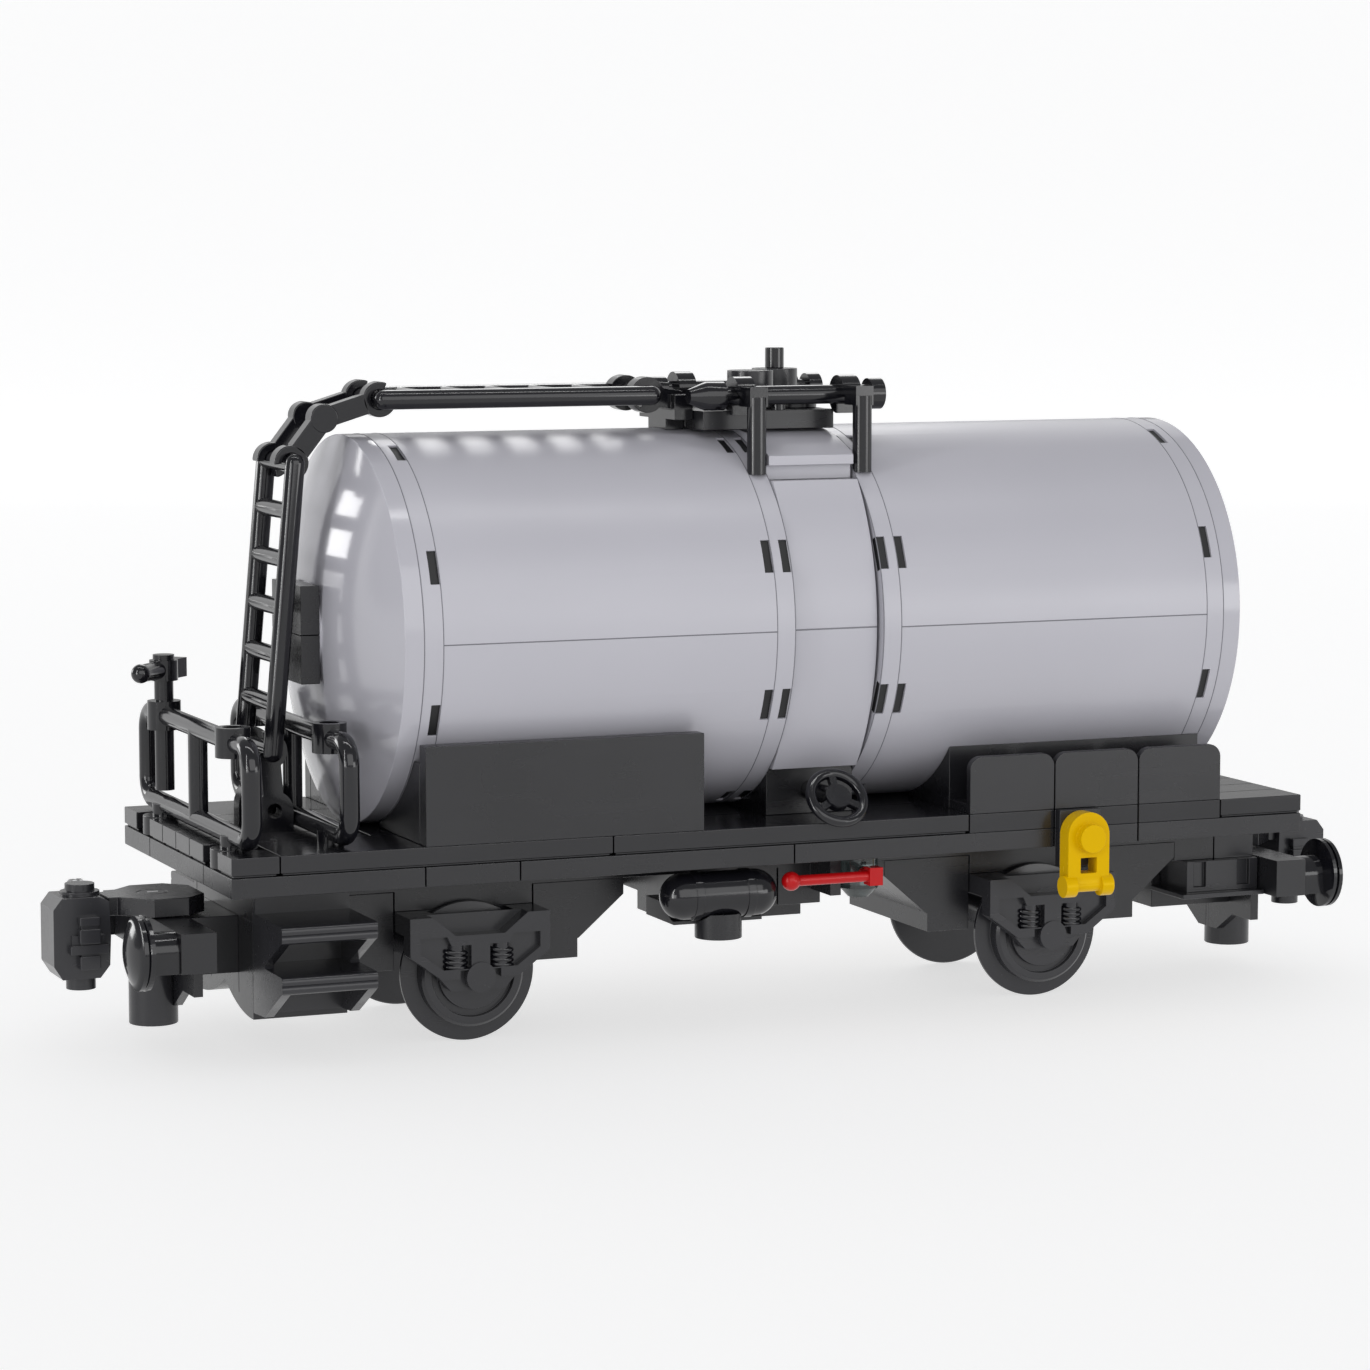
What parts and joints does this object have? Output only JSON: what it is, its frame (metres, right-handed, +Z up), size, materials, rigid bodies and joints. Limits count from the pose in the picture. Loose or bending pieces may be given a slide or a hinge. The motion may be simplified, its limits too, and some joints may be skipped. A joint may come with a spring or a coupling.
{
  "type": "toy railway tank car",
  "caption": "Brick-built toy railway tank wagon: grey tank on a black chassis, with ladders, brake platform, hatch gear, buffers and swinging magnet couplers.",
  "frame": {"origin": "centre of the footprint, on the ground under the wheel flanges", "axes": "+X along the wagon towards the end without a platform, +Y to the far side, +Z up"},
  "size_m": [0.2348, 0.077, 0.1116],
  "materials": {
    "grey": "smooth semi-gloss moulded plastic",
    "black": "glossy moulded plastic",
    "red": "glossy moulded plastic",
    "yellow": "glossy moulded plastic",
    "smoke": "smoky translucent moulded plastic"
  },
  "bodies": {
    "wagon": {"deck_lower_plates": "black", "deck_upper_plates": "black", "deck_tiles": "black", "side_tiles": "black", "side_panels": "black", "saddle_bricks": "black", "tank_barrel_left": "grey", "tank_barrel_right": "grey", "tank_rings": "grey", "tank_dome_left": "grey", "tank_dome_right": "grey", "middle_bricks": "black", "middle_side_panels": "grey", "middle_top_slopes": "grey", "valve_bars": "black", "valve_handwheels": "black", "hatch_base": "black", "hatch_domes": "black", "hatch_pin": "black", "hatch_rails": "black", "rail_claws": "black", "top_ladder": "black", "end_ladder": "black", "ladder_links": "black", "ladder_rest": "black", "ladder_foot": "black", "dome_bracket": "black", "platform_fence_outer": "black", "platform_fence_inner": "black", "brake_crank": "black", "underframe_plates": "black", "axle_holder_left": "black", "axle_holder_right": "black", "buffer_beams": "black", "buffers": "black", "coupler_pins": "black", "double_steps": "black", "air_reservoirs": "black", "reservoir_feet": "black", "brake_rods_red": "red", "changeover_levers_yellow": "yellow", "lever_backs": "black", "end_boxes": "black", "axle_walls": "black", "coupler_stacks": "black", "step_crosspiece": "black", "rod_holders_clear": "smoke"},
    "wheelset_left": {"wheels_left": "black", "axle_left": "black"},
    "wheelset_right": {"wheels_right": "black", "axle_right": "black"},
    "coupler_left": {"coupler_arm_left": "black", "coupler_head_left": "black"},
    "coupler_right": {"coupler_arm_right": "black", "coupler_head_right": "black"}
  },
  "joints": [
    {"name": "left_wheelset_spin", "type": "hinge", "parent": "wagon", "child": "wheelset_left", "pos_m": [-0.052, 0, 0.0115], "axis": [0, 1, 0], "continuous": true},
    {"name": "right_wheelset_spin", "type": "hinge", "parent": "wagon", "child": "wheelset_right", "pos_m": [0.052, 0, 0.0115], "axis": [0, 1, 0], "continuous": true},
    {"name": "left_coupler_swing", "type": "hinge", "parent": "wagon", "child": "coupler_left", "pos_m": [-0.1, 0, 0.0231], "axis": [0, 0, 1], "range_deg": [-15, 15]},
    {"name": "right_coupler_swing", "type": "hinge", "parent": "wagon", "child": "coupler_right", "pos_m": [0.1, 0, 0.0231], "axis": [0, 0, 1], "range_deg": [-15, 15]}
  ]
}
